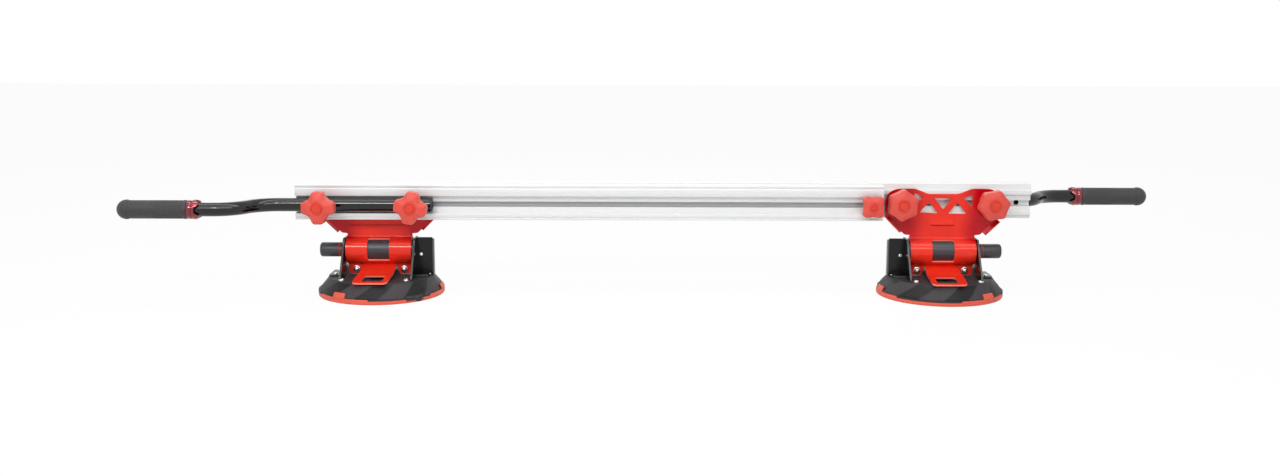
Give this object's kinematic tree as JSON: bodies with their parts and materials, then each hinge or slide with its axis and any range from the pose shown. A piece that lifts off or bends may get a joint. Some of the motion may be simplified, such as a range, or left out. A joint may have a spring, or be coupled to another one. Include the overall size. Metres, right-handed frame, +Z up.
{
  "type": "vacuum slab carrier",
  "caption": "Telescopic two-person carrier for slabs: back-to-back aluminium rails, S-bent grips at the ends and hand-pumped vacuum cups on red sheet brackets.",
  "frame": {"origin": "middle of the carrier's bounding box, on the floor plane under the pads, with the rails closed as pictured", "axes": "+X along the rails towards the handle of the rear rail, +Y from the front rail to the rear rail, +Z up"},
  "size_m": [1.711, 0.2138, 0.186],
  "materials": {
    "aluminium": "satin clear anodised extrusion",
    "red_powder_coat": "glossy red powder coat on folded sheet",
    "coral_plastic": "coral red moulded plastic, fine matte texture",
    "black_steel": "glossy black lacquer on steel",
    "zinc_steel": "bright zinc plated",
    "red_anodised": "red anodised, polished",
    "pad_rubber": "orange red silicone-like rubber, matte",
    "grip_rubber": "dark grey ribbed rubber",
    "pump_plastic": "black satin plastic",
    "plate_plastic": "dark grey moulded plastic with a swirled facet texture",
    "plug_plastic": "black moulded plastic"
  },
  "bodies": {
    "front_rail": {"left_rail": "aluminium", "left_rail_lock_stud": "zinc_steel"},
    "rear_rail": {"right_rail": "aluminium", "right_rail_lock_stud": "zinc_steel"},
    "left_rail_lock_knob": {"left_rail_lock_knob": "coral_plastic"},
    "left_handle": {"left_handle_tube": "black_steel", "left_grip": "grip_rubber", "left_grip_ring": "red_anodised", "left_tube_plug": "plug_plastic", "left_handle_stud_outer": "zinc_steel", "left_handle_stud_inner": "zinc_steel"},
    "left_handle_knob_outer": {"left_handle_knob_outer": "coral_plastic"},
    "left_handle_knob_inner": {"left_handle_knob_inner": "coral_plastic"},
    "left_cup": {"left_bracket_plate": "red_powder_coat", "left_bracket_clamp": "red_powder_coat", "left_bracket_stud_outer": "zinc_steel", "left_bracket_stud_inner": "zinc_steel", "left_clamp_bolt_outer": "zinc_steel", "left_clamp_bolt_inner": "zinc_steel", "left_pump_barrel": "pump_plastic", "left_upright_outer": "black_steel", "left_upright_inner": "black_steel", "left_cup_plate": "plate_plastic", "left_pad": "pad_rubber"},
    "left_bracket_knob_outer": {"left_bracket_knob_outer": "coral_plastic"},
    "left_bracket_knob_inner": {"left_bracket_knob_inner": "coral_plastic"},
    "left_plunger": {"left_plunger": "pump_plastic"},
    "left_release_tab": {"left_release_tab": "plate_plastic"},
    "right_rail_lock_knob": {"right_rail_lock_knob": "coral_plastic"},
    "right_handle": {"right_handle_tube": "black_steel", "right_grip": "grip_rubber", "right_grip_ring": "red_anodised", "right_tube_plug": "plug_plastic", "right_handle_stud_outer": "zinc_steel", "right_handle_stud_inner": "zinc_steel"},
    "right_handle_knob_outer": {"right_handle_knob_outer": "coral_plastic"},
    "right_handle_knob_inner": {"right_handle_knob_inner": "coral_plastic"},
    "right_cup": {"right_bracket_plate": "red_powder_coat", "right_bracket_clamp": "red_powder_coat", "right_bracket_stud_outer": "zinc_steel", "right_bracket_stud_inner": "zinc_steel", "right_clamp_bolt_outer": "zinc_steel", "right_clamp_bolt_inner": "zinc_steel", "right_pump_barrel": "pump_plastic", "right_upright_outer": "black_steel", "right_upright_inner": "black_steel", "right_cup_plate": "plate_plastic", "right_pad": "pad_rubber"},
    "right_bracket_knob_outer": {"right_bracket_knob_outer": "coral_plastic"},
    "right_bracket_knob_inner": {"right_bracket_knob_inner": "coral_plastic"},
    "right_plunger": {"right_plunger": "pump_plastic"},
    "right_release_tab": {"right_release_tab": "plate_plastic"}
  },
  "joints": [
    {"name": "rail_slide", "type": "slide", "parent": "front_rail", "child": "rear_rail", "axis": [1, 0, 0], "range_m": [0, 0.45]},
    {"name": "left_rail_lock_knob_turn", "type": "hinge", "parent": "front_rail", "child": "left_rail_lock_knob", "pos_m": [0.3613, -0.0323, 0.1535], "axis": [0, 1, 0], "continuous": true},
    {"name": "left_handle_slide", "type": "slide", "parent": "front_rail", "child": "left_handle", "axis": [-1, 0, 0], "range_m": [-0.15, 0.035]},
    {"name": "left_handle_knob_outer_turn", "type": "hinge", "parent": "left_handle", "child": "left_handle_knob_outer", "pos_m": [-0.5393, -0.0461, 0.1535], "axis": [0, 1, 0], "continuous": true},
    {"name": "left_handle_knob_inner_turn", "type": "hinge", "parent": "left_handle", "child": "left_handle_knob_inner", "pos_m": [-0.3905, -0.0461, 0.1535], "axis": [0, 1, 0], "continuous": true},
    {"name": "left_cup_slide", "type": "slide", "parent": "front_rail", "child": "left_cup", "axis": [-1, 0, 0], "range_m": [-0.019, 0.03]},
    {"name": "left_bracket_knob_outer_turn", "type": "hinge", "parent": "left_cup", "child": "left_bracket_knob_outer", "pos_m": [-0.533, 0.0057, 0.1535], "axis": [0, 1, 0], "continuous": true},
    {"name": "left_bracket_knob_inner_turn", "type": "hinge", "parent": "left_cup", "child": "left_bracket_knob_inner", "pos_m": [-0.383, 0.0057, 0.1535], "axis": [0, 1, 0], "continuous": true},
    {"name": "left_plunger_push", "type": "slide", "parent": "left_cup", "child": "left_plunger", "axis": [1, 0, 0], "range_m": [0, 0.035], "stiffness_N_per_m": 300, "springref_m": -0.003},
    {"name": "left_release_tab_lift", "type": "hinge", "parent": "left_cup", "child": "left_release_tab", "pos_m": [-0.38241, -0.0757, 0.0125], "axis": [-0.7314, -0.682, 0], "range_deg": [0, 15], "stiffness_Nm_per_rad": 0.05},
    {"name": "right_rail_lock_knob_turn", "type": "hinge", "parent": "rear_rail", "child": "right_rail_lock_knob", "pos_m": [-0.3163, 0.0323, 0.1535], "axis": [0, 1, 0], "continuous": true},
    {"name": "right_handle_slide", "type": "slide", "parent": "rear_rail", "child": "right_handle", "axis": [1, 0, 0], "range_m": [-0.105, 0.08]},
    {"name": "right_handle_knob_outer_turn", "type": "hinge", "parent": "right_handle", "child": "right_handle_knob_outer", "pos_m": [0.5393, 0.0461, 0.1535], "axis": [0, 1, 0], "continuous": true},
    {"name": "right_handle_knob_inner_turn", "type": "hinge", "parent": "right_handle", "child": "right_handle_knob_inner", "pos_m": [0.3905, 0.0461, 0.1535], "axis": [0, 1, 0], "continuous": true},
    {"name": "right_cup_slide", "type": "slide", "parent": "rear_rail", "child": "right_cup", "axis": [1, 0, 0], "range_m": [-0.005, 0.044]},
    {"name": "right_bracket_knob_outer_turn", "type": "hinge", "parent": "right_cup", "child": "right_bracket_knob_outer", "pos_m": [0.5635, -0.0057, 0.1535], "axis": [0, 1, 0], "continuous": true},
    {"name": "right_bracket_knob_inner_turn", "type": "hinge", "parent": "right_cup", "child": "right_bracket_knob_inner", "pos_m": [0.4135, -0.0057, 0.1535], "axis": [0, 1, 0], "continuous": true},
    {"name": "right_plunger_push", "type": "slide", "parent": "right_cup", "child": "right_plunger", "axis": [-1, 0, 0], "range_m": [0, 0.035], "stiffness_N_per_m": 300, "springref_m": -0.003},
    {"name": "right_release_tab_lift", "type": "hinge", "parent": "right_cup", "child": "right_release_tab", "pos_m": [0.41291, 0.0757, 0.0125], "axis": [0.7314, 0.682, 0], "range_deg": [0, 15], "stiffness_Nm_per_rad": 0.05}
  ]
}
